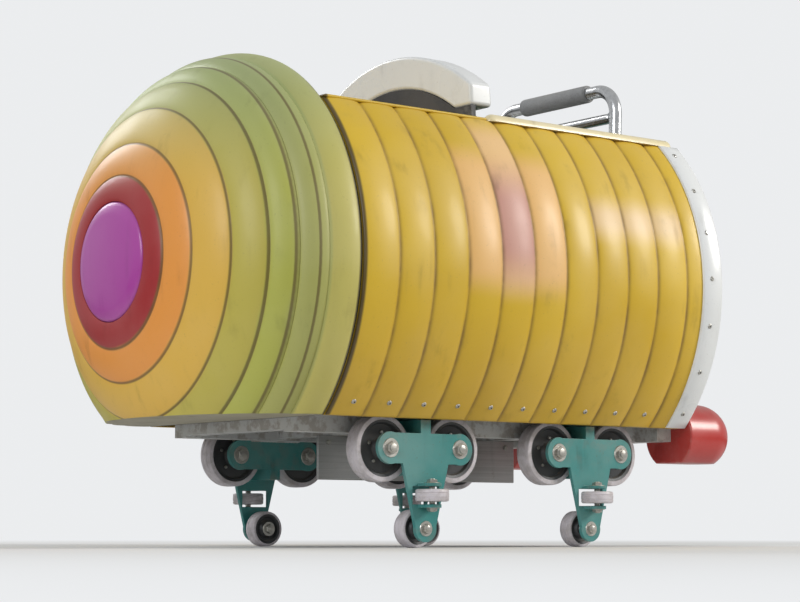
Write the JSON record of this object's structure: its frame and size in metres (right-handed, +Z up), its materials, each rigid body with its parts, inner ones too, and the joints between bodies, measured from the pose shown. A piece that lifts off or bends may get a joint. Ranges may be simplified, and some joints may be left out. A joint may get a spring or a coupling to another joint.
{
  "type": "children's roller coaster tail car",
  "caption": "Open two-seat tail car of a worm-shaped children's roller coaster: ribbed round body, ring-striped tail, lap bar and rail bogies.",
  "frame": {"origin": "on the floor under the middle of the car's outline, where the upstop wheels stand", "axes": "+X forward to the coupling, +Y to the riders' left, +Z up"},
  "size_m": [1.71, 1.072, 1.253],
  "materials": {
    "body_yellow": "gloss gel coat",
    "tail_bands": "gloss gel coat",
    "tail_purple": "gloss gel coat",
    "joint_dark": "matt",
    "teal_panel": "gloss gel coat",
    "white_trim": "gloss gel coat",
    "cream_trim": "gloss gel coat",
    "red_foot": "gloss gel coat",
    "seat_moulding": "satin",
    "seat_vinyl": "padded vinyl",
    "lap_tube": "satin",
    "sleeve_foam": "soft foam",
    "chassis_grey": "satin",
    "bogie_teal": "semi gloss",
    "bare_steel": "zinc plated",
    "floor_grey": "grip surface",
    "wheel_tread": "polyurethane"
  },
  "bodies": {
    "car": {"chassis_frame": "chassis_grey", "coupling_tongue": "chassis_grey", "brake_fin": "bare_steel", "floor_panel": "floor_grey", "body_shell": "body_yellow", "tail_dome": "tail_bands", "tail_cap": "tail_purple", "tail_bulkhead": "joint_dark", "rear_deck": "body_yellow", "front_bulkhead": "teal_panel", "front_rim": "white_trim", "top_bead": "cream_trim", "seat_shell": "seat_moulding", "headrest": "white_trim", "seat_cushion": "seat_vinyl", "back_cushion": "seat_vinyl", "lap_bar_brackets": "bare_steel", "foot_left": "red_foot", "foot_right": "red_foot", "bogie_rear_left": "bogie_teal", "pins_rear_left": "bare_steel", "bogie_rear_right": "bogie_teal", "pins_rear_right": "bare_steel", "bogie_front_left": "bogie_teal", "pins_front_left": "bare_steel", "bogie_front_right": "bogie_teal", "pins_front_right": "bare_steel"},
    "lap_bar_body": {"lap_bar": "lap_tube", "lap_bar_sleeve": "sleeve_foam"},
    "run_wheel_rear_left_a_body": {"run_wheel_rear_left_a": "wheel_tread"},
    "run_wheel_rear_left_b_body": {"run_wheel_rear_left_b": "wheel_tread"},
    "stop_wheel_rear_left_body": {"stop_wheel_rear_left": "wheel_tread"},
    "guide_wheel_rear_left_body": {"guide_wheel_rear_left": "wheel_tread"},
    "run_wheel_rear_right_a_body": {"run_wheel_rear_right_a": "wheel_tread"},
    "run_wheel_rear_right_b_body": {"run_wheel_rear_right_b": "wheel_tread"},
    "stop_wheel_rear_right_body": {"stop_wheel_rear_right": "wheel_tread"},
    "guide_wheel_rear_right_body": {"guide_wheel_rear_right": "wheel_tread"},
    "run_wheel_front_left_a_body": {"run_wheel_front_left_a": "wheel_tread"},
    "run_wheel_front_left_b_body": {"run_wheel_front_left_b": "wheel_tread"},
    "stop_wheel_front_left_body": {"stop_wheel_front_left": "wheel_tread"},
    "guide_wheel_front_left_body": {"guide_wheel_front_left": "wheel_tread"},
    "run_wheel_front_right_a_body": {"run_wheel_front_right_a": "wheel_tread"},
    "run_wheel_front_right_b_body": {"run_wheel_front_right_b": "wheel_tread"},
    "stop_wheel_front_right_body": {"stop_wheel_front_right": "wheel_tread"},
    "guide_wheel_front_right_body": {"guide_wheel_front_right": "wheel_tread"}
  },
  "joints": [
    {"name": "lap_bar_hinge", "type": "hinge", "parent": "car", "child": "lap_bar_body", "pos_m": [0.555, 0, 0.893], "axis": [0, -1, 0], "range_deg": [0, 115]},
    {"name": "run_wheel_rear_left_a_spin", "type": "hinge", "parent": "car", "child": "run_wheel_rear_left_a_body", "pos_m": [-0.29, 0.31, 0.233], "axis": [0, 1, 0], "continuous": true},
    {"name": "run_wheel_rear_left_b_spin", "type": "hinge", "parent": "car", "child": "run_wheel_rear_left_b_body", "pos_m": [-0.08, 0.31, 0.233], "axis": [0, 1, 0], "continuous": true},
    {"name": "stop_wheel_rear_left_spin", "type": "hinge", "parent": "car", "child": "stop_wheel_rear_left_body", "pos_m": [-0.185, 0.31, 0.045], "axis": [0, 1, 0], "continuous": true},
    {"name": "guide_wheel_rear_left_spin", "type": "hinge", "parent": "car", "child": "guide_wheel_rear_left_body", "pos_m": [-0.185, 0.383, 0.123], "axis": [0, 0, 1], "continuous": true},
    {"name": "run_wheel_rear_right_a_spin", "type": "hinge", "parent": "car", "child": "run_wheel_rear_right_a_body", "pos_m": [-0.29, -0.31, 0.233], "axis": [0, 1, 0], "continuous": true},
    {"name": "run_wheel_rear_right_b_spin", "type": "hinge", "parent": "car", "child": "run_wheel_rear_right_b_body", "pos_m": [-0.08, -0.31, 0.233], "axis": [0, 1, 0], "continuous": true},
    {"name": "stop_wheel_rear_right_spin", "type": "hinge", "parent": "car", "child": "stop_wheel_rear_right_body", "pos_m": [-0.185, -0.31, 0.045], "axis": [0, 1, 0], "continuous": true},
    {"name": "guide_wheel_rear_right_spin", "type": "hinge", "parent": "car", "child": "guide_wheel_rear_right_body", "pos_m": [-0.185, -0.383, 0.123], "axis": [0, 0, 1], "continuous": true},
    {"name": "run_wheel_front_left_a_spin", "type": "hinge", "parent": "car", "child": "run_wheel_front_left_a_body", "pos_m": [0.24, 0.31, 0.233], "axis": [0, 1, 0], "continuous": true},
    {"name": "run_wheel_front_left_b_spin", "type": "hinge", "parent": "car", "child": "run_wheel_front_left_b_body", "pos_m": [0.45, 0.31, 0.233], "axis": [0, 1, 0], "continuous": true},
    {"name": "stop_wheel_front_left_spin", "type": "hinge", "parent": "car", "child": "stop_wheel_front_left_body", "pos_m": [0.345, 0.31, 0.045], "axis": [0, 1, 0], "continuous": true},
    {"name": "guide_wheel_front_left_spin", "type": "hinge", "parent": "car", "child": "guide_wheel_front_left_body", "pos_m": [0.345, 0.383, 0.123], "axis": [0, 0, 1], "continuous": true},
    {"name": "run_wheel_front_right_a_spin", "type": "hinge", "parent": "car", "child": "run_wheel_front_right_a_body", "pos_m": [0.24, -0.31, 0.233], "axis": [0, 1, 0], "continuous": true},
    {"name": "run_wheel_front_right_b_spin", "type": "hinge", "parent": "car", "child": "run_wheel_front_right_b_body", "pos_m": [0.45, -0.31, 0.233], "axis": [0, 1, 0], "continuous": true},
    {"name": "stop_wheel_front_right_spin", "type": "hinge", "parent": "car", "child": "stop_wheel_front_right_body", "pos_m": [0.345, -0.31, 0.045], "axis": [0, 1, 0], "continuous": true},
    {"name": "guide_wheel_front_right_spin", "type": "hinge", "parent": "car", "child": "guide_wheel_front_right_body", "pos_m": [0.345, -0.383, 0.123], "axis": [0, 0, 1], "continuous": true}
  ]
}
